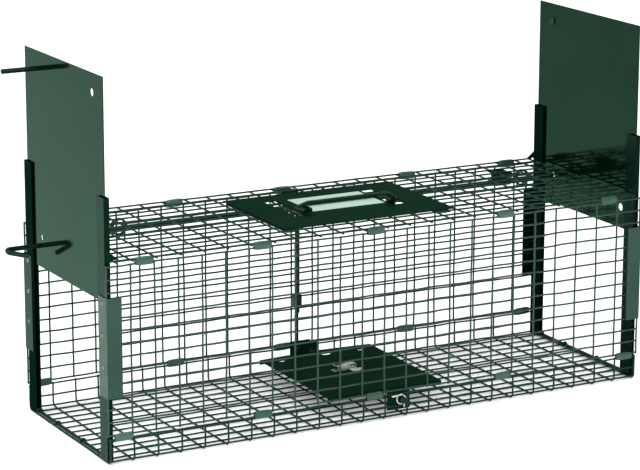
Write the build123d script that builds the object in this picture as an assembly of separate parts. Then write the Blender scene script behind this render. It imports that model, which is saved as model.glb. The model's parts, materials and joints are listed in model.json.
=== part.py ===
from build123d import *
import os

# Live catch trap: a welded-mesh cage with a guillotine door at each end, set open.
# +X runs along the cage from the left door to the right door, -Y is the front and +Z is up.
# The origin is on the floor, at the middle of the cage.

# ---- driving dimensions, mm ----
CELL = 25.4                # spacing of the upright and cross wires
CELLS_LONG = 24            # cells along the cage
ROWS_WIDE = 13             # spaces between the long wires, front to back
WIRE = 2.0                 # mesh wire, with its coating
CAGE_W = 203.2             # over the wires, front to back
CAGE_H = 203.2             # over the wires, floor to top
LIP_TOP = 26.4             # top of the floor tray's bent-up lips
LIP_ROWS = (13.2, 25.4)    # heights of the lips' long wires
EDGE_ROW = 98.4            # the floor's outermost long wires, from the middle plane
SHEET = 1.0                # sheet steel of the rails, brackets and doors
SEAM = 4.0                 # between the two edge wires that a clip joins
CLIP_LENGTH = 19.0
CLIP_SHEET = 0.8
CLIP_SLACK = 0.15          # between a clip's inside and the wires
TOP_CLIP_CELLS = (1, 6, 11, 17, 22)
SEAM_CLIP_CELLS = (0, 6, 11, 17, 23)

RAIL_TOP = 264.0
RAIL_WEB = 97.5            # outer face of a rail's web, from the middle plane
RAIL_DEPTH = 17.0          # how far a rail reaches in over the door's edge
RAIL_IN = 300.5            # inner and outer faces of a rail along X
RAIL_OUT = 306.5

BRACKET_Z = (67.0, 167.0)
BRACKET_IN_Y = 83.0        # inner edge of the leg that lies on the rail
BRACKET_IN_X = 291.5       # inner edge of the leg that lies on the mesh
RIVET_Z = (97.0, 129.0, 161.0)
RIVET_Y = 92.0
RIVET_R = 1.5
GUSSET_X = (291.5, 305.5)
GUSSET_TALL = 11.0

SILL_R = 2.0
SILL_HALF = 80.0
TIE_R = 0.9
TIE_Y = (-31.3, 31.3, 78.2)

DOOR_X = 303.2             # inner face of a door
DOOR_HALF = 94.5
DOOR_Z = (160.0, 380.0)    # raised
DOOR_HOLE_Y = 69.0
DOOR_HOLE_Z = 361.0
DOOR_HOLE_R = 4.0
HEM_THICK = 0.8
HEM_TALL = 6.0
PIN_R = 2.5
PIN_HEAD_R = 4.2
PIN_HEAD_THICK = 1.2
PIN_TIP = 340.0
LOWER_PIN = (72.0, 180.0)  # y and z of the left door's hooked pin
HOOK_BEND = -347.35        # x where the two runs of the hooked pin meet
LOWER_HOLE = (-69.0, 182.0)

AXLE_X = 16.0
AXLE_Z = 21.0
AXLE_R = 2.5
AXLE_HALF = 110.0
AXLE_CAP_R = 3.5
TREADLE_HALF = 67.0
TREADLE_Y = (-72.0, 80.0)
TREADLE_DROP = 1.75        # how far the wings fall from the fold to their edges
TREADLE_FLANGE = 5.0
TREADLE_HOLES = ((-32.0, 4.0), (20.0, 7.0), (62.0, 5.0))    # x and radius
TREADLE_HOLE_INSET = 13.0  # of the holes' centres from the back edge
BRACKET_X = (-14.0, 10.0)  # the upright bracket on the treadle's back flange
BRACKET_THICK = 1.2
BRACKET_RIVET = (4.0, 20.6)
BAIT_HOLE = (19.0, 5.0)    # the round opening under the bait clip
BAIT_HOLE_R = 12.0
BAIT_X = 1.0
BAIT_Y = 5.0
BAIT_WIDE = 8.0
BAIT_THICK = 0.8
BAIT_TILT = 1.5            # degrees, so that the clip lies on the wing

ROCKER_X = -9.6
ROCKER_Z = 183.0
ROCKER_R = 3.0
ROCKER_ARM = 8.0
TRIGGER_ARM = 6.6
TRIGGER_Y = 85.0
TRIGGER_HOOK_Z = 30.0
TRIGGER_R = 1.4
TRIGGER_INNER_Y = 77.5     # ends of the trigger rod's two hooks
SLEEVE_R = 2.6
SLEEVE_Z = (68.0, 172.0)
BLOCK_Z = (75.0, 88.0)

ROD_R = 2.5
ROD_Y = 61.0
ROD_Z = ROCKER_Z + ROCKER_ARM
LATCH_HOLE_R = 2.9
LATCH_GAP = 0.4            # between a release rod's tip and the door
GUIDE_X = {"left": -268.0, "right": 235.0}
ROD_SPRING_X = {"left": -216.0, "right": 268.0}

PLATE_HALF_X = 98.5
PLATE_HALF_Y = 69.0
PLATE_RIVET = (88.9, 62.5)
PLATE_RIVET_R = 2.0
PLATE_HOLE_R = 2.1
CLAMP_BAR_X = (83.0, 95.0)
CLAMP_BAR_HALF = 66.0
CLAMP_BAR_THICK = 2.0
SLOT_Y = (-28.0, 45.0)
SLOT_WIDE = 13.0
LABEL = (-38.0, 46.0, -16.0, 41.0)
LABEL_THICK = 0.3
LUG_X = 50.0
HANDLE_Y = -23.0
HANDLE_Z = 208.2
HANDLE_R = 2.5
HANDLE_FALL = 0.03         # the folded handle drops this much for each mm of its reach

# ---- worked-out places ----
HALF_L = CELLS_LONG * CELL / 2
SKIN = CAGE_W / 2
CROSS_X = [-HALF_L + CELL * i for i in range(CELLS_LONG + 1)]
ROW = CAGE_W / ROWS_WIDE
FLOOR_ROWS = [ROW * k - SKIN for k in range(1, ROWS_WIDE)]
LONG_END = HALF_L + WIRE / 2
SIDE_LOW = LIP_TOP - WIRE / 2 + SEAM
SIDE_HIGH = CAGE_H - WIRE / 2 - SEAM - 0.6
SIDE_SPACES = 13
TOP_END = 299.0
TRIGGER_X = ROCKER_X + TRIGGER_ARM
SILL_X = DOOR_X + 0.5
SILL_Z = WIRE + SILL_R + 0.05
PIN_BORE = PIN_R + 0.05
PLATE_TOP = CAGE_H + SHEET
UNDER_TOP = CAGE_H - WIRE
BAR_LOW = UNDER_TOP - CLAMP_BAR_THICK
TREADLE_TOP = AXLE_Z + AXLE_R + 0.1 + SHEET    # top of the fold
WING_SLOPE = TREADLE_DROP / TREADLE_HALF

ENDS = {"left": -1, "right": 1}
SIDES = {"front": -1, "back": 1}
parts = {}


# ---- shared shapes ----
def box(x0, x1, y0, y1, z0, z1):
    """A box between two corners, given in any order."""
    size = Box(abs(x1 - x0), abs(y1 - y0), abs(z1 - z0))
    return Pos((x0 + x1) / 2, (y0 + y1) / 2, (z0 + z1) / 2) * size


def rod(start, end, radius):
    """A round bar from one point to another."""
    a, b = Vector(*start), Vector(*end)
    bar = Cylinder(radius, (b - a).length, align=(Align.CENTER, Align.CENTER, Align.MIN))
    return Plane(origin=a, z_dir=b - a) * bar


def bent_rod(points, radii, radius):
    """A round bar along straight runs joined by arcs."""
    path = FilletPolyline(*points, radius=radii)
    start = path @ 0
    section = Plane(origin=start, z_dir=path % 0) * Circle(radius)
    return sweep(section, path=path)


def rivet(origin, direction, grip, shank=RIVET_R, head=2.7, tail=2.1):
    """A blind rivet: domed head with a hollow middle, shank through the sheets, small set tail."""
    dome, tail_h, hollow = 1.0, 0.5, 0.7
    with BuildPart() as body:
        with BuildSketch(Plane.XZ):
            with BuildLine():
                Polyline((0, dome), (0, -grip - tail_h), (tail, -grip - tail_h), (tail, -grip),
                         (shank, -grip), (shank, 0), (head, 0))
                ThreePointArc((head, 0), (head * 0.72, dome * 0.62), (0, dome))
            make_face()
        revolve(axis=Axis.Z)
    solid = body.part - Pos(0, 0, dome) * Cylinder(hollow, 1.8)
    return Plane(origin=origin, z_dir=direction) * solid


def coil_spring(mean_r, wire_r, turns, pitch, leg_a, leg_b):
    """A torsion spring about +Z: a straight leg, the coil, and a second straight leg."""
    height = turns * pitch
    coil = Helix(pitch=pitch, height=height, radius=mean_r)
    start, end = coil @ 0, coil @ 1
    first = Line(start - (coil % 0) * leg_a, start)
    last = Line(end, end + (coil % 1) * leg_b)
    path = Wire([first.edge(), coil.edge(), last.edge()])
    section = Plane(origin=first @ 0, z_dir=first % 0) * Circle(wire_r)
    return sweep(section, path=path, is_frenet=False, transition=Transition.RIGHT)


def grid(plane, across, along, across_span, along_span):
    """A flat panel of welded wires: one solid, WIRE thick, lying on a plane."""
    u0, u1 = across_span
    v0, v1 = along_span
    bars = [Pos(u, (v0 + v1) / 2) * Rectangle(WIRE, v1 - v0) for u in across]
    bars += [Pos((u0 + u1) / 2, v) * Rectangle(u1 - u0, WIRE) for v in along]
    return extrude(plane * (bars[0] + bars[1:]), amount=WIRE)


# ---- cage ----
def floor_tray():
    floor_lines = FLOOR_ROWS + [-EDGE_ROW, EDGE_ROW]
    tray = grid(Plane.XY, CROSS_X, floor_lines, (-LONG_END, LONG_END), (-SKIN, SKIN))
    for side in SIDES.values():
        face = Plane(origin=(0, side * SKIN, 0), x_dir=(1, 0, 0), z_dir=(0, -side, 0))
        heights = [side * z for z in LIP_ROWS]
        span = sorted((0, side * LIP_TOP))
        tray += grid(face, CROSS_X, heights, (-LONG_END, LONG_END), span)
    return tray


def side_panel(side):
    step = (SIDE_HIGH - SIDE_LOW) / SIDE_SPACES
    heights = [SIDE_LOW + step * k for k in range(SIDE_SPACES + 1)]
    span = (SIDE_LOW - WIRE / 2, SIDE_HIGH + WIRE / 2)
    low = SKIN - WIRE if side > 0 else -SKIN
    face = Plane(origin=(0, low + WIRE, 0), x_dir=(1, 0, 0), z_dir=(0, -1, 0))
    return grid(face, CROSS_X, heights, (-LONG_END, LONG_END), span)


def top_panel():
    lines = CROSS_X[1:-1] + [-TOP_END + 2, TOP_END - 2]
    edge = SKIN - WIRE / 2
    face = Plane.XY.offset(CAGE_H - WIRE)
    return grid(face, lines, FLOOR_ROWS + [-edge, edge], (-TOP_END, TOP_END), (-SKIN, SKIN))


parts["floor_tray_mesh"] = floor_tray()
parts["front_side_mesh"] = side_panel(-1)
parts["back_side_mesh"] = side_panel(1)
parts["top_mesh"] = top_panel()


def clip(x, y, low, high):
    """A folded sheet clip round two edge wires, one above the other."""
    wide = WIRE + 2 * CLIP_SLACK
    tall = high - low + wide
    outer = RectangleRounded(wide + 2 * CLIP_SHEET, tall + 2 * CLIP_SHEET, 1.0)
    ring = outer - Rectangle(wide, tall)
    start = (x - CLIP_LENGTH / 2, y, (low + high) / 2)
    place = Plane(origin=start, x_dir=(0, 1, 0), z_dir=(1, 0, 0))
    return extrude(place * ring, amount=CLIP_LENGTH)


def clip_row(side, cells, low, high):
    """A row of clips in the named cells; those in the end cells stand clear of the rails."""
    y = side * (SKIN - WIRE / 2)
    reach = HALF_L - CELL / 2 - 1.5
    centres = [-HALF_L + CELL * (c + 0.5) for c in cells]
    return Compound(children=[clip(max(-reach, min(reach, x)), y, low, high) for x in centres])


for name, side in SIDES.items():
    parts[name + "_top_clips"] = clip_row(side, TOP_CLIP_CELLS, SIDE_HIGH, CAGE_H - WIRE / 2)
    parts[name + "_seam_clips"] = clip_row(side, SEAM_CLIP_CELLS, LIP_TOP - WIRE / 2, SIDE_LOW)


# ---- door rails, brackets and gussets ----
def rivet_holes(end, side):
    near, far, y = end * (RAIL_OUT - 1.5), end * (RAIL_OUT + 2.5), side * RIVET_Y
    return [rod((near, y, z), (far, y, z), RIVET_R + 0.1) for z in RIVET_Z]


def rail(end, side):
    inner = RAIL_WEB - RAIL_DEPTH
    bar = box(end * RAIL_IN, end * RAIL_OUT, side * inner, side * RAIL_WEB, WIRE, RAIL_TOP)
    slot = box(end * (RAIL_IN + SHEET), end * (RAIL_OUT - SHEET), side * (inner - 1),
               side * (RAIL_WEB - SHEET), 0, RAIL_TOP + 1)
    return bar - slot - rivet_holes(end, side)


def bracket(end, side):
    z0, z1 = BRACKET_Z
    x0, x1 = end * RAIL_OUT, end * (RAIL_OUT + SHEET)
    on_rail = box(x0, x1, side * BRACKET_IN_Y, side * (SKIN + SHEET), z0, z1)
    on_mesh = box(end * BRACKET_IN_X, x1, side * SKIN, side * (SKIN + SHEET), z0, z1)
    return on_rail + on_mesh - rivet_holes(end, side)


def gusset(end, side):
    """A small triangle between the rail's web and the top of the cage."""
    inner, outer = (end * x for x in GUSSET_X)
    corners = [(outer, CAGE_H), (inner, CAGE_H), (outer, CAGE_H + GUSSET_TALL)]
    face = make_face(Polyline(*corners, close=True))
    start = Plane(origin=(0, side * RAIL_WEB, 0), x_dir=(1, 0, 0), z_dir=(0, -1, 0))
    return extrude(start * face, amount=-side * SHEET)


rivets = []
gussets = []
for end_name, end in ENDS.items():
    for side_name, side in SIDES.items():
        parts[end_name + "_" + side_name + "_rail"] = rail(end, side)
        parts[end_name + "_" + side_name + "_bracket"] = bracket(end, side)
        gussets.append(gusset(end, side))
        for z in RIVET_Z:
            head = (end * (RAIL_OUT + SHEET), side * RIVET_Y, z)
            rivets.append(rivet(head, (end, 0, 0), 2 * SHEET))
parts["bracket_rivets"] = Compound(children=rivets)
parts["rail_gussets"] = Compound(children=gussets)


# ---- sill rods across the floor at the entrances ----
def sill_tie(end, y):
    """A mesh wire end curled over the sill rod."""
    centre = Plane(origin=(end * SILL_X, y, SILL_Z), x_dir=(-end, 0, 0), z_dir=(0, end, 0))
    arc = centre * CenterArc((0, 0), SILL_R + TIE_R + 0.05, -30, 230)
    section = Plane(origin=arc @ 0, z_dir=arc % 0) * Circle(TIE_R)
    return sweep(section, path=arc)


ties = []
for end_name, end in ENDS.items():
    x = end * SILL_X
    parts[end_name + "_sill_rod"] = rod((x, -SILL_HALF, SILL_Z), (x, SILL_HALF, SILL_Z), SILL_R)
    ties += [sill_tie(end, y) for y in TIE_Y]
parts["sill_ties"] = Compound(children=ties)


# ---- doors and their pins ----
def door(end, holes):
    z0, z1 = DOOR_Z
    sheet = box(end * DOOR_X, end * (DOOR_X + SHEET), -DOOR_HALF, DOOR_HALF, z0, z1)
    hem = box(end * (DOOR_X - HEM_THICK), end * DOOR_X, -DOOR_HALF, DOOR_HALF, z0, z0 + HEM_TALL)
    panel = sheet + hem
    for y, z, radius in holes:
        panel -= rod((end * 300, y, z), (end * 308, y, z), radius)
    return panel


def pin_head(end, y, z):
    return rod((end * (DOOR_X - PIN_HEAD_THICK), y, z), (end * DOOR_X, y, z), PIN_HEAD_R)


shared_holes = [(DOOR_HOLE_Y, DOOR_HOLE_Z, PIN_BORE), (ROD_Y, ROD_Z, LATCH_HOLE_R)]
left_holes = [(-DOOR_HOLE_Y, DOOR_HOLE_Z, DOOR_HOLE_R), (*LOWER_PIN, PIN_BORE)]
right_holes = [(*LOWER_HOLE, DOOR_HOLE_R)]
parts["left_door"] = door(-1, shared_holes + left_holes)
parts["right_door"] = door(1, shared_holes + right_holes)
for end_name, end in ENDS.items():
    near, far = (end * x for x in (DOOR_X, PIN_TIP))
    shank = rod((near, DOOR_HOLE_Y, DOOR_HOLE_Z), (far, DOOR_HOLE_Y, DOOR_HOLE_Z), PIN_R)
    shank = chamfer(shank.edges().sort_by(Axis.X)[0 if end < 0 else -1], 0.8)
    parts[end_name + "_door_pin"] = shank + pin_head(end, DOOR_HOLE_Y, DOOR_HOLE_Z)

hook_y, hook_z = LOWER_PIN
hook_points = [(-DOOR_X, hook_y, hook_z), (HOOK_BEND, hook_y, hook_z), (-319.0, hook_y - 13, hook_z - 6)]
hook = bent_rod(hook_points, 3.0, PIN_R)
parts["left_door_hook"] = hook + pin_head(-1, hook_y, hook_z)


# ---- handle plate, label and carry handle ----
def handle_plate():
    low, high = CAGE_H, PLATE_TOP
    plate = box(-PLATE_HALF_X, PLATE_HALF_X, -PLATE_HALF_Y, PLATE_HALF_Y, low, high)
    for s in (-1, 1):
        near, far = s * (LUG_X - SHEET / 2), s * (LUG_X + SHEET / 2)
        plate -= box(far, far + s * SLOT_WIDE, *SLOT_Y, low - 1, high + 1)
        plate += box(near, far, HANDLE_Y - 7, HANDLE_Y + 7, low, HANDLE_Z + 5)
        plate -= rod((near - s, HANDLE_Y, HANDLE_Z), (far + s, HANDLE_Y, HANDLE_Z), HANDLE_R + 0.3)
    for x, y in plate_rivet_places:
        plate -= rod((x, y, low - 1), (x, y, high + 1), PLATE_HOLE_R)
    return plate


rivet_x, rivet_y = PLATE_RIVET
plate_rivet_places = [(s * rivet_x, t * rivet_y) for s in (-1, 1) for t in (-1, 1)]
parts["handle_plate"] = handle_plate()
parts["label_plate"] = box(*LABEL, PLATE_TOP, PLATE_TOP + LABEL_THICK)


def handle_point(x, y):
    return (x, y, HANDLE_Z - HANDLE_FALL * (y - HANDLE_Y))


bail = [(-44, HANDLE_Y), (-57, HANDLE_Y), (-57, -11), (-32, 8), (66, 8), (57, -11), (57, HANDLE_Y),
        (44, HANDLE_Y)]
parts["carry_handle"] = bent_rod([handle_point(*p) for p in bail], [4, 5, 6, 6, 5, 4], HANDLE_R)

bar_holes = [rod((x, y, BAR_LOW - 1), (x, y, PLATE_TOP), PLATE_HOLE_R) for x, y in plate_rivet_places]
bar_near, bar_far = CLAMP_BAR_X
clamp_bars = [box(s * bar_near, s * bar_far, -CLAMP_BAR_HALF, CLAMP_BAR_HALF, BAR_LOW, UNDER_TOP) - bar_holes
              for s in (-1, 1)]
plate_rivets = [rivet((x, y, PLATE_TOP), (0, 0, 1), PLATE_TOP - BAR_LOW, PLATE_RIVET_R, 3.8, 3.0)
                for x, y in plate_rivet_places]
parts["handle_clamp_bars"] = Compound(children=clamp_bars)
parts["handle_plate_rivets"] = Compound(children=plate_rivets)


# ---- treadle ----
def wing_top(x):
    """Height of the treadle's top surface above the floor at x."""
    return TREADLE_TOP - WING_SLOPE * abs(x - AXLE_X)


def wing_band(depth, y0, y1):
    """The folded treadle outline, this deep, between two y planes."""
    low, mid, high = AXLE_X - TREADLE_HALF, AXLE_X, AXLE_X + TREADLE_HALF
    corners = [(x, wing_top(x)) for x in (low, mid, high)]
    corners += [(x, wing_top(x) - depth) for x in (high, mid, low)]
    face = make_face(Polyline(*corners, close=True))
    start = Plane(origin=(0, y0, 0), x_dir=(1, 0, 0), z_dir=(0, -1, 0))
    return extrude(start * face, amount=-(y1 - y0))


def treadle_plate():
    y0, y1 = TREADLE_Y
    plate = wing_band(SHEET, y0, y1)
    plate += wing_band(TREADLE_FLANGE, y0, y0 + SHEET)
    plate += wing_band(TREADLE_FLANGE, y1 - SHEET, y1)
    back = y1 - TREADLE_HOLE_INSET
    for x, radius in TREADLE_HOLES:
        plate -= rod((x, back, AXLE_Z), (x, back, TREADLE_TOP + 1), radius)
    plate -= rod((*BAIT_HOLE, AXLE_Z), (*BAIT_HOLE, TREADLE_TOP + 1), BAIT_HOLE_R)
    for y in (y0, y1 - SHEET):
        plate -= rod((AXLE_X, y - 1, AXLE_Z), (AXLE_X, y + 2, AXLE_Z), AXLE_R + 0.02)
    plate -= rod((BAIT_X, BAIT_Y, AXLE_Z), (BAIT_X, BAIT_Y, TREADLE_TOP + 1), RIVET_R + 0.1)
    x, z = BRACKET_RIVET
    return plate - rod((x, y1 - 3, z), (x, y1 + 3, z), RIVET_R + 0.1)


def bait_clip():
    """A springy strip, folded back over itself, with its free end turned up."""
    outline = FilletPolyline((-5, 0), (22, 0), (22, 5.6), (2, 3.2), (-4, 6.4), radius=[2.2, 2.2, 2.0])
    strip = extrude(Plane.XZ * trace(outline, BAIT_THICK), amount=BAIT_WIDE / 2, both=True)
    return strip - rod((0, 0, -2), (0, 0, 1.2), RIVET_R + 0.1)


parts["treadle_plate"] = treadle_plate()
parts["treadle_axle"] = rod((AXLE_X, -AXLE_HALF + 1, AXLE_Z), (AXLE_X, AXLE_HALF - 1, AXLE_Z), AXLE_R)
caps = []
for s in (-1, 1):
    cap = rod((AXLE_X, s * (AXLE_HALF - 1.8), AXLE_Z), (AXLE_X, s * AXLE_HALF, AXLE_Z), AXLE_CAP_R)
    cap -= rod((AXLE_X, s * (AXLE_HALF - 3), AXLE_Z), (AXLE_X, s * (AXLE_HALF - 1), AXLE_Z), AXLE_R)
    caps.append(cap)
parts["axle_caps"] = Compound(children=caps)

for side_name, side in SIDES.items():
    plate = box(3, 29, side * 98.2, side * 99.6, 9, 30)
    plate -= rod((AXLE_X, side * 97, AXLE_Z), (AXLE_X, side * 101, AXLE_Z), AXLE_R + 0.1)
    parts[side_name + "_axle_plate"] = plate

clip_low = wing_top(BAIT_X) + 0.02
clip_place = Pos(BAIT_X, BAIT_Y, clip_low + BAIT_THICK / 2) * Rot(0, -BAIT_TILT, 0)
parts["bait_clip"] = clip_place * bait_clip()
bait_rivet_head = (BAIT_X, BAIT_Y, clip_low + BAIT_THICK + 0.1)
parts["bait_clip_rivet"] = rivet(bait_rivet_head, (0, 0, 1), 2.0)

treadle_back = TREADLE_Y[1]
upright = box(*BRACKET_X, treadle_back, treadle_back + BRACKET_THICK, 17, 38)
slot_start = (TRIGGER_X + 0.6, treadle_back - 1, TRIGGER_HOOK_Z)
hook_slot = SlotOverall(6.0, 2 * (TRIGGER_R + 0.6))
upright -= extrude(Plane(origin=slot_start, x_dir=(1, 0, 0), z_dir=(0, 1, 0)) * hook_slot, amount=4)
rivet_x, rivet_z = BRACKET_RIVET
upright -= rod((rivet_x, treadle_back - 2, rivet_z), (rivet_x, treadle_back + 3, rivet_z), RIVET_R + 0.1)
parts["treadle_bracket"] = upright
bracket_rivet_head = (rivet_x, treadle_back + BRACKET_THICK, rivet_z)
parts["treadle_bracket_rivet"] = rivet(bracket_rivet_head, (0, 1, 0), BRACKET_THICK + SHEET)

spring = coil_spring(4.6, 0.9, 1.25, 1.9, 9, 12)
parts["treadle_spring"] = Pos(AXLE_X, -103.2, AXLE_Z) * Rot(90, 0, 0) * spring


# ---- trigger rod, rocker and release rods ----
def on_trigger(low, high, radius):
    """A round bar on the trigger rod's own axis."""
    return rod((TRIGGER_X, TRIGGER_Y, low), (TRIGGER_X, TRIGGER_Y, high), radius)


trigger_points = [(TRIGGER_X, TRIGGER_INNER_Y, TRIGGER_HOOK_Z), (TRIGGER_X, TRIGGER_Y, TRIGGER_HOOK_Z),
                  (TRIGGER_X, TRIGGER_Y, ROCKER_Z), (TRIGGER_X, TRIGGER_INNER_Y, ROCKER_Z)]
parts["trigger_rod"] = bent_rod(trigger_points, 2.5, TRIGGER_R)
low, high = SLEEVE_Z
parts["trigger_sleeve"] = on_trigger(low, high, SLEEVE_R) - on_trigger(low - 1, high + 1, TRIGGER_R + 0.02)
low, high = BLOCK_Z
block = box(TRIGGER_X - 6, TRIGGER_X + 3.6, TRIGGER_Y - 3.8, TRIGGER_Y + 3.8, low, high)
parts["trigger_stop_block"] = block - on_trigger(low - 1, high + 1, SLEEVE_R + 0.02)

parts["rocker_shaft"] = rod((ROCKER_X, 43.5, ROCKER_Z), (ROCKER_X, 94, ROCKER_Z), ROCKER_R)


def rocker_arm(y0, dx, dz, tip, bore):
    """A flat arm on the rocker shaft with an oversize eye for a hooked rod end."""
    hub = 5.6
    y1 = y0 + 2.0
    arm = rod((ROCKER_X, y0, ROCKER_Z), (ROCKER_X, y1, ROCKER_Z), hub)
    arm += rod((ROCKER_X + dx, y0, ROCKER_Z + dz), (ROCKER_X + dx, y1, ROCKER_Z + dz), tip)
    if dx:
        arm += box(ROCKER_X, ROCKER_X + dx, y0, y1, ROCKER_Z - tip, ROCKER_Z + tip)
    else:
        arm += box(ROCKER_X - hub, ROCKER_X + hub, y0, y1, ROCKER_Z, ROCKER_Z + dz)
    arm -= rod((ROCKER_X, y0 - 1, ROCKER_Z), (ROCKER_X, y1 + 1, ROCKER_Z), ROCKER_R + 0.02)
    arm -= rod((ROCKER_X + dx, y0 - 1, ROCKER_Z + dz), (ROCKER_X + dx, y1 + 1, ROCKER_Z + dz), bore)
    return arm


parts["left_rocker_arm"] = rocker_arm(ROD_Y - 6, 0, ROCKER_ARM, 5.6, ROD_R + 1.0)
parts["right_rocker_arm"] = rocker_arm(ROD_Y + 4, 0, -ROCKER_ARM, 5.6, ROD_R + 1.0)
parts["trigger_rocker_arm"] = rocker_arm(80, TRIGGER_ARM, 0, 4.2, TRIGGER_R + 0.9)

hangers = {"front": (45.5, 47.0, 35.5, 47.0), "back": (90.5, 92.0, 84.5, 98.3)}
for side_name, (y0, y1, f0, f1) in hangers.items():
    hanger = box(ROCKER_X - 8, ROCKER_X + 8, y0, y1, 177, UNDER_TOP)
    hanger += box(ROCKER_X - 8, ROCKER_X + 8, f0, f1, UNDER_TOP - 1.2, UNDER_TOP)
    hanger -= rod((ROCKER_X, y0 - 1, ROCKER_Z), (ROCKER_X, y1 + 1, ROCKER_Z), ROCKER_R + 0.1)
    parts[side_name + "_rocker_hanger"] = hanger

tip_x = DOOR_X - LATCH_GAP
left_rod = [(-tip_x, ROD_Y, ROD_Z), (ROCKER_X, ROD_Y, ROD_Z), (ROCKER_X, ROD_Y - 8, ROD_Z)]
low_z = ROCKER_Z - ROCKER_ARM
right_rod = [(tip_x, ROD_Y, ROD_Z), (34, ROD_Y, ROD_Z), (18, ROD_Y, low_z), (ROCKER_X, ROD_Y, low_z),
             (ROCKER_X, ROD_Y + 8, low_z)]
parts["left_release_rod"] = bent_rod(left_rod, 3.2, ROD_R)
parts["right_release_rod"] = bent_rod(right_rod, [6, 6, 3.2], ROD_R)


def rod_guide(x):
    """A folded strap that hangs from the top mesh and carries a release rod."""
    half, inner, thick = 10.0, ROD_R + 0.5, 1.0
    low = ROD_Z - ROD_R - 0.4
    strap = box(x - half, x + half, ROD_Y - inner - thick, ROD_Y + inner + thick, low - thick, UNDER_TOP)
    strap -= box(x - half, x + half, ROD_Y - inner, ROD_Y + inner, low, UNDER_TOP + 1)
    for s in (-1, 1):
        near, far = ROD_Y + s * (inner + thick), ROD_Y + s * (inner + thick + 7)
        strap += box(x - half, x + half, near, far, UNDER_TOP - thick, UNDER_TOP)
    return strap


for end_name in ENDS:
    parts[end_name + "_rod_guide"] = rod_guide(GUIDE_X[end_name])
    spring = coil_spring(8.0, 1.0, 2.5, 2.3, 14, 10)
    place = Pos(ROD_SPRING_X[end_name], ROD_Y + 12.2, ROD_Z - 1)
    parts[end_name + "_rod_spring"] = place * Rot(90, 0, 0) * spring


os.makedirs("parts", exist_ok=True)
for name, shape in parts.items():
    export_step(shape, "parts/" + name + ".step")
print(len(parts), "nodes written")
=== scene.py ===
import json
import math
import random

import bmesh
import bpy
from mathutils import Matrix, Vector


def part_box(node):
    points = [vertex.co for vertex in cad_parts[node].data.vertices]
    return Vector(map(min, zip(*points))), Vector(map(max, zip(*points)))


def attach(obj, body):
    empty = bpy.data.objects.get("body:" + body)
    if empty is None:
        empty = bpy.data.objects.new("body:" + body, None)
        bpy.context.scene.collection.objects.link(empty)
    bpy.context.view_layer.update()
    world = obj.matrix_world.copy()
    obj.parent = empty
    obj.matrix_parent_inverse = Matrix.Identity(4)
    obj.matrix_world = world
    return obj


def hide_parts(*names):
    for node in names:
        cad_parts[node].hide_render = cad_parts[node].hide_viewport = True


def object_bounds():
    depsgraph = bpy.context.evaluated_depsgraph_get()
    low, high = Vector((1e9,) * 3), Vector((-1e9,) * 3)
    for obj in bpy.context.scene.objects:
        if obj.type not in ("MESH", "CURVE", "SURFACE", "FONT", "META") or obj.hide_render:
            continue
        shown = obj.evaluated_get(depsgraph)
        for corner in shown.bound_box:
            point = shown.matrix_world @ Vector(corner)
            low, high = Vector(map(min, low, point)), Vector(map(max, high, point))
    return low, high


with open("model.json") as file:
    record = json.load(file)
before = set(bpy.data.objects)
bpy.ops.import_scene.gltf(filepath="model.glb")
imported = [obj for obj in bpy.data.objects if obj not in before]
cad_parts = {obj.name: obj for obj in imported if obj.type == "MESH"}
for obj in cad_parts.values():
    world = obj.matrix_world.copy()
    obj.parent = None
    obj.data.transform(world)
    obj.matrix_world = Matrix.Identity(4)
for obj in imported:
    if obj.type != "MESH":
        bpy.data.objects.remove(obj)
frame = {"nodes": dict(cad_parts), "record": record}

# Looks for a welded-mesh live catch trap. Metres, in the frame's own axes: +X to the right door,
# -Y to the front.

MM = 0.001
cad_low, cad_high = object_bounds()
nodes = frame["nodes"]
records = frame["record"]
bpy.context.scene.view_settings.view_transform = "Standard"

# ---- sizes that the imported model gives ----
tray_low, tray_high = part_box("floor_tray_mesh")
side_low, side_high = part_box("front_side_mesh")
top_low, top_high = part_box("top_mesh")

# ---- the mesh ----
CELLS = 24
WIRE_R = 0.95 * MM
LAYER = 0.75 * MM                       # between the two layers of welded wires
WIRE_SIDES = 10
TIP_LENGTH = 0.35                       # a wire's rounded end, as shares of its radius
TIP_WIDTH = 0.62
STEP = 6 * MM                           # between the rings of a cross wire
STEPS_PER_CELL = 4                      # rings of a long wire
ARC_PARTS = 6
KNOT_WIDE = 1.22 * MM
KNOT_TALL = 1.12 * MM
KNOT_SIDES = 8
KNOT_BANDS = 4
UNEVEN = 0.5 * MM                       # how far the wires stray
WAVES = 15
WAVE_SHORT = 0.03
WAVE_LONG = 0.16
OUTWARD_SHARE = 0.25                    # of the unevenness, square to the panel

HALF_X = tray_high.x - 1 * MM           # centre of the end cross wires
CELL = 2 * HALF_X / CELLS
SKIN = tray_high.y                      # outer face of the mesh
WALL_Y = SKIN - WIRE_R                  # centre of the outermost wires
ROWS_WIDE = 13
ROW = 2 * SKIN / ROWS_WIDE              # between the long wires of the floor and the top

# Floor tray
LIP_TOP = tray_high.z
BEND = 5 * MM
TRAY_Z = WIRE_R + 0.15 * MM             # keeps the uneven wires above the ground
LIP_ROWS = (1.0 * MM, 13.2 * MM)        # long wires of a lip, down from its edge
BEND_ROW = 0.6                          # share of the bend where its long wire lies

# Side panels
SIDE_SHIFT = -1.9 * MM                  # the uprights are a little to the left of the tray's wires
SIDE_REACH = 1.7 * MM                   # the end uprights stand this much beyond the tray's
SIDE_OVERHANG = 0.7 * MM                # the long wires end this much past the end uprights
SIDE_SPACES = 13
SIDE_EDGE = 1.0 * MM                    # from a panel's edge to its first long wire

# Top panel
TOP_REACH = 2.0 * MM                    # the cross wires' ends stand past the edge wires
TOP_END = 2.0 * MM                      # from the panel's end to its last cross wire

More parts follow.
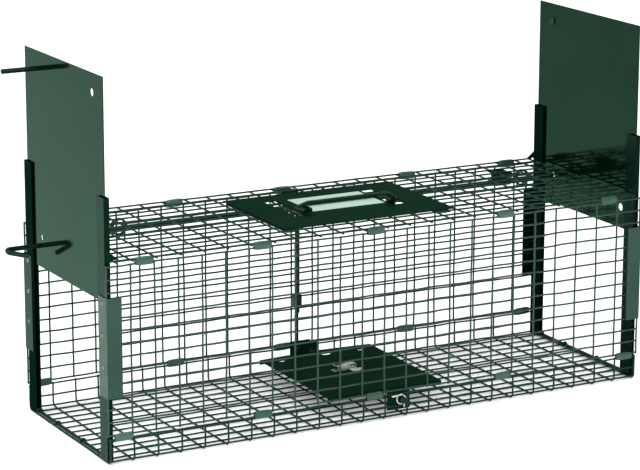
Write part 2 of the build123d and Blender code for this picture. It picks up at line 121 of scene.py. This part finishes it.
# ---- clips and edges ----
CLIP_SHEET = 0.8 * MM
CLIP_STATIONS = 15
CLIP_POINTS = 24
CLIP_CORNER = 3.2                       # 2 is an ellipse, and more is squarer
CLIP_NIP = 0.20                         # how much flatter the ends are
CLIP_FLARE = 0.10                       # how much narrower the ends are
CLIP_LEAN = 0.04
CLIP_DENT = 0.05
EDGE = 0.25 * MM
TOUCH = 0.001 * MM                      # corners this close are one corner

# ---- camera ----
CAMERA_PLACE = (-1.3239, -2.4068, 0.8564)
CAMERA_DOWN = 14.0                      # degrees
CAMERA_ROLL = -0.115
CAMERA_TURN = -28.39
CAMERA_LENS = 154.27
CAMERA_SENSOR = 36.0


# ---- materials ----
def new_material(name):
    material = bpy.data.materials.new(name)
    material.use_nodes = True
    tree = material.node_tree
    shader = tree.nodes["Principled BSDF"]
    return material, tree, shader


def noise(tree, scale, detail=2.0, rough=0.5):
    """Noise over the object's own coordinates, in metres."""
    place = tree.nodes.new("ShaderNodeTexCoord")
    texture = tree.nodes.new("ShaderNodeTexNoise")
    texture.inputs["Scale"].default_value = scale
    texture.inputs["Detail"].default_value = detail
    texture.inputs["Roughness"].default_value = rough
    tree.links.new(place.outputs["Object"], texture.inputs["Vector"])
    return texture.outputs["Fac"]


def ramp(tree, value, stops):
    """A colour ramp; each stop is (position, colour)."""
    node = tree.nodes.new("ShaderNodeValToRGB")
    for element, (position, colour) in zip(node.color_ramp.elements, stops):
        element.position = position
        element.color = (*colour, 1.0)
    tree.links.new(value, node.inputs["Fac"])
    return node.outputs["Color"]


def spread(tree, value, low, high, from_low=0.3, from_high=0.7):
    """A number that runs from low to high as value runs between its own limits."""
    node = tree.nodes.new("ShaderNodeMapRange")
    node.inputs["From Min"].default_value = from_low
    node.inputs["From Max"].default_value = from_high
    node.inputs["To Min"].default_value = low
    node.inputs["To Max"].default_value = high
    tree.links.new(value, node.inputs["Value"])
    return node.outputs["Result"]


def bump(tree, shader, value, depth, strength=0.6):
    node = tree.nodes.new("ShaderNodeBump")
    node.inputs["Distance"].default_value = depth
    node.inputs["Strength"].default_value = strength
    tree.links.new(value, node.inputs["Height"])
    tree.links.new(node.outputs["Normal"], shader.inputs["Normal"])


def paint(name, dark, light, rough_low, rough_high, peel, metallic=0.0, specular=0.5, tint=(1, 1, 1),
          peel_depth=0.06 * MM):
    """Green powder coat: colour drifts slowly, and the surface has a fine orange peel."""
    material, tree, shader = new_material(name)
    drift = noise(tree, 14.0, detail=4.0, rough=0.6)
    tree.links.new(ramp(tree, drift, [(0.3, dark), (0.72, light)]), shader.inputs["Base Color"])
    smear = noise(tree, 60.0, detail=5.0, rough=0.65)
    tree.links.new(spread(tree, smear, rough_low, rough_high), shader.inputs["Roughness"])
    bump(tree, shader, noise(tree, 1.0 / peel, detail=3.0, rough=0.55), peel_depth)
    shader.inputs["Metallic"].default_value = metallic
    shader.inputs["Specular IOR Level"].default_value = specular
    shader.inputs["Specular Tint"].default_value = (*tint, 1.0)
    return material


def bright_metal(name, dark, light, rough_low, rough_high):
    """Plated steel with a faint drawn grain and duller spots."""
    material, tree, shader = new_material(name)
    spots = noise(tree, 220.0, detail=5.0, rough=0.7)
    tree.links.new(ramp(tree, spots, [(0.32, dark), (0.6, light)]), shader.inputs["Base Color"])
    tree.links.new(spread(tree, spots, rough_high, rough_low), shader.inputs["Roughness"])
    bump(tree, shader, noise(tree, 1500.0), 0.02 * MM, strength=0.4)
    shader.inputs["Metallic"].default_value = 1.0
    return material


def label_face(name):
    """Coated paper, pale mint, with faint fibres."""
    material, tree, shader = new_material(name)
    fibres = noise(tree, 700.0, detail=6.0, rough=0.7)
    tree.links.new(ramp(tree, fibres, [(0.3, (0.35, 0.50, 0.425)), (0.7, (0.41, 0.566, 0.48))]),
                   shader.inputs["Base Color"])
    bump(tree, shader, noise(tree, 40.0, detail=3.0), 0.15 * MM, strength=0.5)
    shader.inputs["Roughness"].default_value = 0.5
    return material


mesh_paint = paint("mesh_paint", (0.004, 0.022, 0.013), (0.008, 0.034, 0.021), 0.28, 0.44, 1.1 * MM,
                   metallic=0.5, specular=0.35, tint=(0.6, 1.0, 0.8))
sheet_paint = paint("sheet_paint", (0.001, 0.015, 0.007), (0.002, 0.021, 0.010), 0.30, 0.42, 0.8 * MM,
                    specular=0.012, tint=(0.4, 1.0, 0.7))
# Painted light: a lighter copy of the sheet paint for the front brackets, which catch the front light; the
# back brackets keep the darker rail paint.
front_bracket_painted_light = paint("front_bracket_painted_light", (0.018, 0.046, 0.033), (0.028, 0.064, 0.047), 0.30, 0.42, 0.9 * MM,
                      metallic=0.25, specular=0.2, tint=(0.7, 1.0, 0.85))
# Painted shade: a darker, non-reflective copy of the sheet paint for the back rails, which stand in shade.
back_rail_painted_shade = paint("back_rail_painted_shade", (0.0010, 0.008, 0.004), (0.002, 0.013, 0.007), 0.45, 0.60, 0.8 * MM,
                     specular=0.0)
# Painted light: a lighter copy of mesh_paint for the front side wires only, which face the front light; the
# back side wires keep mesh_paint.
front_mesh_painted_light = paint("front_mesh_painted_light", (0.012, 0.035, 0.025), (0.021, 0.052, 0.038), 0.30, 0.45,
                         1.1 * MM, metallic=0.4, specular=0.5, tint=(0.8, 1.0, 0.9))
clip_paint = paint("clip_paint", (0.030, 0.075, 0.052), (0.075, 0.140, 0.110), 0.28, 0.45, 2.0 * MM,
                   metallic=0.75, specular=0.4, tint=(0.9, 1.0, 0.95))
rail_paint = paint("rail_paint", (0.001, 0.009, 0.0045), (0.002, 0.013, 0.0075), 0.18, 0.28, 0.9 * MM,
                   metallic=0.58, specular=0.05, tint=(0.62, 0.80, 0.72))
door_paint = paint("door_paint", (0.0062, 0.0225, 0.0127), (0.0080, 0.0285, 0.0165), 0.05, 0.09, 0.9 * MM,
                   metallic=0.85, specular=0.05, tint=(0.65, 0.78, 0.71), peel_depth=0.02 * MM)
rod_paint = paint("rod_paint", (0.0015, 0.010, 0.005), (0.004, 0.018, 0.010), 0.24, 0.38, 0.7 * MM,
                  metallic=0.3, specular=0.25, tint=(0.6, 1.0, 0.8))
bright_steel = bright_metal("bright_steel", (0.42, 0.45, 0.43), (0.74, 0.77, 0.75), 0.18, 0.42)
rivet_metal = bright_metal("rivet_metal", (0.05, 0.09, 0.07), (0.17, 0.23, 0.20), 0.30, 0.50)
label_paper = label_face("label_paper")


# ---- mesh helpers ----
def circle(centre, side, other, radius, count):
    return [centre + (side * math.cos(a) + other * math.sin(a)) * radius
            for a in (2 * math.pi * j / count for j in range(count))]


def make_object(name, verts, faces, material, replaced):
    mesh = bpy.data.meshes.new(name)
    mesh.from_pydata(verts, [], faces)
    mesh.materials.append(material)
    mesh.polygons.foreach_set("use_smooth", [True] * len(faces))
    mesh.update()
    piece = bpy.data.objects.new(name, mesh)
    bpy.context.scene.collection.objects.link(piece)
    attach(piece, "cage")
    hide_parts(replaced)


class Shape:
    """Vertices and faces gathered for one object."""

    def __init__(self):
        self.verts = []
        self.faces = []

    def ring_tube(self, rings):
        """A closed tube through rings of equal length, with a flat face at each end."""
        base = len(self.verts)
        count = len(rings[0])
        for ring in rings:
            self.verts.extend(ring)
        for r in range(len(rings) - 1):
            for k in range(count):
                a = base + r * count + k
                b = base + r * count + (k + 1) % count
                self.faces.append((a, b, b + count, a + count))
        self.faces.append(tuple(base + k for k in reversed(range(count))))
        last = base + (len(rings) - 1) * count
        self.faces.append(tuple(last + k for k in range(count)))

    def ring_loop(self, rings):
        """A hollow shape: each ring joins the next, and the last joins the first."""
        base = len(self.verts)
        count = len(rings[0])
        for ring in rings:
            self.verts.extend(ring)
        for r in range(len(rings)):
            after = (r + 1) % len(rings)
            for k in range(count):
                nxt = (k + 1) % count
                self.faces.append((base + r * count + k, base + r * count + nxt,
                                   base + after * count + nxt, base + after * count + k))

    def wire(self, points, radius):
        """A round wire through close points, with slightly rounded ends."""
        last = len(points) - 1
        tangents = [(points[min(k + 1, last)] - points[max(k - 1, 0)]).normalized()
                    for k in range(len(points))]
        side = tangents[0].orthogonal().normalized()
        rings = []
        for k, (point, tangent) in enumerate(zip(points, tangents)):
            side = (side - tangent * side.dot(tangent)).normalized()
            ring = circle(point, side, tangent.cross(side), radius, WIRE_SIDES)
            if k in (0, last):
                step = tangent * (-1 if k == 0 else 1) * radius * TIP_LENGTH
                tip = [point + step + (corner - point) * TIP_WIDTH for corner in ring]
                rings += [tip, ring] if k == 0 else [ring, tip]
            else:
                rings.append(ring)
        self.ring_tube(rings)

    def knot(self, centre, normal):
        """A small flattened blob of coating over a weld."""
        side = normal.orthogonal().normalized()
        other = normal.cross(side)
        rings = []
        for band in range(1, KNOT_BANDS + 1):
            turn = math.pi * band / (KNOT_BANDS + 1)
            flat, rise = math.sin(turn) * KNOT_WIDE, math.cos(turn) * KNOT_TALL
            rings.append(circle(centre + normal * rise, side, other, flat, KNOT_SIDES))
        self.ring_tube(rings)


# ---- welded mesh panels ----
class Ripple:
    """A slow, seeded unevenness over a panel, the same for both layers of its wires."""

    def __init__(self, seed):
        rng = random.Random(seed)
        self.terms = [(rng.uniform(WAVE_SHORT, WAVE_LONG), rng.uniform(WAVE_SHORT, WAVE_LONG),
                       rng.uniform(0, 2 * math.pi), rng.choice((0, 1, 2))) for _ in range(WAVES)]
        self.amount = UNEVEN / 5        # about five waves share each axis

    def at(self, u, v):
        shift = [0.0, 0.0, 0.0]
        for long_u, long_v, phase, axis in self.terms:
            shift[axis] += self.amount * math.sin(2 * math.pi * (u / long_u + v / long_v) + phase)
        return shift


def arc_profile(corners, bend=0):
    """Close points along straight runs joined by arcs, in the y-z plane."""
    points = []
    for k, corner in enumerate(corners):
        if k in (0, len(corners) - 1):
            points.append(corner)
            continue
        back = (corners[k - 1] - corner).normalized()
        ahead = (corners[k + 1] - corner).normalized()
        centre = corner + (back + ahead) * bend
        for j in range(ARC_PARTS + 1):
            turn = math.pi / 2 * j / ARC_PARTS
            points.append(centre - ahead * bend * math.cos(turn) - back * bend * math.sin(turn))
    dense = [points[0]]
    for a, b in zip(points, points[1:]):
        parts = max(1, round((b - a).length / STEP))
        dense += [a.lerp(b, (j + 1) / parts) for j in range(parts)]
    return dense


def run_length(profile):
    """The length along a profile at each of its points."""
    total = [0.0]
    for a, b in zip(profile, profile[1:]):
        total.append(total[-1] + (b - a).length)
    return total


def on_profile(profile, lengths, s):
    """The point and the inward normal at a length along a profile."""
    k = 0
    while k < len(lengths) - 2 and lengths[k + 1] < s:
        k += 1
    a, b = profile[k], profile[k + 1]
    t = (s - lengths[k]) / (lengths[k + 1] - lengths[k])
    along = (b - a).normalized()
    return a.lerp(b, t), Vector((0, -along.z, along.y))


def welded_panel(name, node, profile, rows, cross_x, ends, seed, flip=1, material=mesh_paint):
    """Cross wires along a profile, long wires inside them at the given lengths, and a knot at each weld."""
    ripple = Ripple(seed)
    lengths = run_length(profile)
    shape = Shape()

    def place(x, s, depth):
        point, normal = on_profile(profile, lengths, s)
        du, dv, dn = ripple.at(x, s)
        along = Vector((0, normal.z, -normal.y)) * flip
        inward = normal * flip
        return Vector((x + du, point.y, point.z)) + along * dv + inward * (depth + dn * OUTWARD_SHARE)

    for x in cross_x:
        shape.wire([place(x, s, 0) for s in lengths], WIRE_R)
    steps = CELLS * STEPS_PER_CELL
    xs = [ends[0] + (ends[1] - ends[0]) * k / steps for k in range(steps + 1)]
    for s in rows:
        shape.wire([place(x, s, LAYER) for x in xs], WIRE_R)
        for x in cross_x:
            _, normal = on_profile(profile, lengths, s)
            shape.knot(place(x, s, LAYER / 2), normal)
    make_object(name, shape.verts, shape.faces, material, node)


cross_all = [-HALF_X + CELL * k for k in range(CELLS + 1)]
floor_rows = [ROW * k - SKIN for k in range(1, ROWS_WIDE)]


def add_floor_tray():
    """The cross wires are bent up at both edges."""
    profile = arc_profile([Vector((0, -WALL_Y, LIP_TOP)), Vector((0, -WALL_Y, TRAY_Z)),
                           Vector((0, WALL_Y, TRAY_Z)), Vector((0, WALL_Y, LIP_TOP))], BEND)
    lip_run = LIP_TOP - TRAY_Z - BEND
    arc_run = math.pi / 2 * BEND
    total = run_length(profile)[-1]
    rows = [lip_run + arc_run + (y + WALL_Y - BEND) for y in floor_rows]
    for s in (*LIP_ROWS, lip_run + BEND_ROW * arc_run):
        rows += [s, total - s]
    welded_panel("floor_tray_wires", "floor_tray_mesh", profile, rows, cross_all,
                 (tray_low.x, tray_high.x), 3)


def add_side_panel(name, side, seed, material):
    """The uprights are outside the long wires."""
    profile = arc_profile([Vector((0, side * WALL_Y, side_low.z)), Vector((0, side * WALL_Y, side_high.z))])
    run = side_high.z - side_low.z
    rows = [SIDE_EDGE + (run - 2 * SIDE_EDGE) * k / SIDE_SPACES for k in range(SIDE_SPACES + 1)]
    end = HALF_X + SIDE_REACH
    uprights = [-end] + [x + SIDE_SHIFT for x in cross_all[1:-1]] + [end]
    reach = end + SIDE_OVERHANG
    welded_panel(name + "_side_wires", name + "_side_mesh", profile, rows, uprights, (-reach, reach), seed,
                 flip=side, material=material)


def add_top_panel():
    """The long wires lie on the cross wires and carry the handle plate."""
    z = top_high.z - WIRE_R - LAYER
    edge = SKIN + TOP_REACH
    profile = arc_profile([Vector((0, -edge, z)), Vector((0, edge, z))])
    rows = [y + SKIN + TOP_REACH for y in floor_rows + [-WALL_Y, WALL_Y]]
    cross_x = [top_low.x + TOP_END] + cross_all[1:-1] + [top_high.x - TOP_END]
    welded_panel("top_wires", "top_mesh", profile, rows, cross_x, (top_low.x, top_high.x), 37)


add_floor_tray()
# The front side wires get the lighter painted-light copy of the mesh paint.
add_side_panel("front", -1, 11, front_mesh_painted_light)
add_side_panel("back", 1, 23, mesh_paint)
add_top_panel()


# ---- crimped sheet clips ----
def clip_section(half_wide, half_tall):
    """A rounded rectangle in the y-z plane, as (y, z) pairs at even angles."""
    power = 2 / CLIP_CORNER
    section = []
    for k in range(CLIP_POINTS):
        a = 2 * math.pi * k / CLIP_POINTS
        c, s = math.cos(a), math.sin(a)
        section.append((half_wide * math.copysign(abs(c) ** power, c),
                        half_tall * math.copysign(abs(s) ** power, s)))
    return section


def crimped_clip(shape, low, high, rng):
    """One sheet clip: a flattened sleeve with a bulged middle, nipped ends and open mouths."""
    centre = (low + high) / 2
    half_x = (high.x - low.x) / 2
    half_y = (high.y - low.y) / 2
    half_z = (high.z - low.z) / 2
    lean = rng.uniform(-CLIP_LEAN, CLIP_LEAN)
    dents = [rng.uniform(-CLIP_DENT, CLIP_DENT) for _ in range(4)]
    outer, inner = [], []
    for k in range(CLIP_STATIONS):
        t = -1 + 2 * k / (CLIP_STATIONS - 1)
        nip = 1 - CLIP_NIP * abs(t) ** 5 + dents[k % 4] * 0.5
        flare = 1 - CLIP_FLARE * abs(t) ** 3
        x = centre.x + half_x * t
        tilt = lean * half_x * t
        for rings, cut in ((outer, 0.0), (inner, CLIP_SHEET)):
            rings.append([Vector((x, centre.y + y * flare, centre.z + z * nip + tilt))
                          for y, z in clip_section(half_y - cut, half_z - cut)])
    shape.ring_loop(outer + inner[::-1])


def islands(node):
    """The boxes of a node's separate solids, found through its shared corners, from left to right."""
    mesh = bmesh.new()
    mesh.from_mesh(nodes[node].data)
    bmesh.ops.remove_doubles(mesh, verts=mesh.verts, dist=TOUCH)
    left = set(mesh.verts)
    boxes = []
    while left:
        stack = [left.pop()]
        group = []
        while stack:
            vert = stack.pop()
            group.append(vert.co.copy())
            for edge in vert.link_edges:
                other = edge.other_vert(vert)
                if other in left:
                    left.remove(other)
                    stack.append(other)
        low = Vector(map(min, zip(*group)))
        high = Vector(map(max, zip(*group)))
        boxes.append((low, high))
    mesh.free()
    return sorted(boxes, key=lambda box: box[0].x)


for row in ("front_top_clips", "back_top_clips", "front_seam_clips", "back_seam_clips"):
    rng = random.Random(row)
    clips = Shape()
    for low, high in islands(row):
        crimped_clip(clips, low, high, rng)
    make_object("crimped_" + row, clips.verts, clips.faces, clip_paint, row)


# ---- CAD nodes that stay, with softened edges ----
def soften(piece, material):
    piece.data.materials.clear()
    piece.data.materials.append(material)
    for polygon in piece.data.polygons:
        polygon.use_smooth = True
    weld = piece.modifiers.new("weld", "WELD")
    weld.merge_threshold = TOUCH
    merge = piece.modifiers.new("flat_faces", "DECIMATE")
    merge.decimate_type = "DISSOLVE"
    merge.angle_limit = math.radians(1.0)
    bevel = piece.modifiers.new("bevel", "BEVEL")
    bevel.width = EDGE
    bevel.segments = 2
    bevel.limit_method = "ANGLE"
    bevel.angle_limit = math.radians(35)
    flatten = piece.modifiers.new("even_shading", "WEIGHTED_NORMAL")
    flatten.mode = "FACE_AREA"
    flatten.weight = 90


slot_of = {part["node"]: part["material_slot"] for part in records["subparts"]}
by_slot = {"sheet_coating": sheet_paint, "rod_coating": rod_paint, "bright_steel": bright_steel,
           "rivet_metal": rivet_metal, "label_face": label_paper, "mesh_coating": mesh_paint}
# Lit and shaded copies of one paint: the front brackets get a lighter painted-light paint, and the back
# rails a darker painted-shade paint.
by_ending = {"_door": door_paint, "front_bracket": front_bracket_painted_light, "back_bracket": rail_paint,
             "front_rail": rail_paint, "back_rail": back_rail_painted_shade, "handle_plate_rivets": sheet_paint,
             "axle_caps": rod_paint, "rod_spring": rod_paint}


def material_of(node):
    """A node's own paint if its name ends in one of the endings, and otherwise its slot's."""
    for ending, material in by_ending.items():
        if node.endswith(ending):
            return material
    return by_slot[slot_of[node]]


for node, piece in nodes.items():
    if not piece.hide_render:
        soften(piece, material_of(node))


# ---- floor, light and camera ----
def add_floor():
    half = 6.0
    mesh = bpy.data.meshes.new("floor")
    corners = [(-half, -half, 0), (half, -half, 0), (half, half, 0), (-half, half, 0)]
    mesh.from_pydata(corners, [], [(0, 1, 2, 3)])
    floor = bpy.data.objects.new("floor", mesh)
    floor.location.z = cad_low.z - 0.2 * MM
    material, tree, shader = new_material("floor_card")
    tone = ramp(tree, noise(tree, 0.8, detail=1.0),
                [(0.3, (0.93, 0.93, 0.93)), (0.7, (0.95, 0.95, 0.95))])
    tree.links.new(tone, shader.inputs["Base Color"])
    shader.inputs["Roughness"].default_value = 0.9
    shader.inputs["Specular IOR Level"].default_value = 0.1
    shader.inputs["Emission Color"].default_value = (1.0, 1.0, 1.0, 1.0)
    shader.inputs["Emission Strength"].default_value = 0.2
    mesh.materials.append(material)
    bpy.context.scene.collection.objects.link(floor)


def add_light(name, place, aim, wide, tall, power):
    light = bpy.data.lights.new(name, "AREA")
    light.shape = "RECTANGLE"
    light.size, light.size_y, light.energy = wide, tall, power
    lamp = bpy.data.objects.new(name, light)
    lamp.location = place
    lamp.rotation_mode = "QUATERNION"
    lamp.rotation_quaternion = (Vector(aim) - Vector(place)).to_track_quat("-Z", "Y")
    bpy.context.scene.collection.objects.link(lamp)


def add_camera():
    data = bpy.data.cameras.new("camera")
    data.sensor_width = CAMERA_SENSOR
    data.lens = CAMERA_LENS
    camera = bpy.data.objects.new("camera", data)
    camera.location = CAMERA_PLACE
    camera.rotation_euler = (math.radians(90 - CAMERA_DOWN), math.radians(CAMERA_ROLL),
                             math.radians(CAMERA_TURN))
    bpy.context.scene.collection.objects.link(camera)
    bpy.context.scene.camera = camera


def add_world():
    """White behind the part; what lights it is dim near the horizon and bright overhead."""
    world = bpy.data.worlds.new("studio")
    world.use_nodes = True
    tree = world.node_tree
    background = tree.nodes["Background"]
    direction = tree.nodes.new("ShaderNodeTexCoord")
    split = tree.nodes.new("ShaderNodeSeparateXYZ")
    tree.links.new(direction.outputs["Generated"], split.inputs["Vector"])
    glow = spread(tree, split.outputs["Z"], 0.03, 1.5, from_low=0.30, from_high=0.65)
    seen = tree.nodes.new("ShaderNodeLightPath")
    pick = tree.nodes.new("ShaderNodeMix")
    tree.links.new(seen.outputs["Is Camera Ray"], pick.inputs["Factor"])
    tree.links.new(glow, pick.inputs["A"])
    pick.inputs["B"].default_value = 1.0
    tree.links.new(pick.outputs["Result"], background.inputs["Strength"])
    background.inputs["Color"].default_value = (1.0, 1.0, 1.0, 1.0)
    bpy.context.scene.world = world


add_floor()
add_world()
add_light("left_box", place=(-1.5, -0.1, 0.7), aim=(-0.3, 0, 0.25), wide=0.9, tall=0.9, power=14)
add_light("front_box", place=(-0.4, -2.6, 1.6), aim=(0, 0, 0.1), wide=2.4, tall=1.2, power=45)
add_camera()
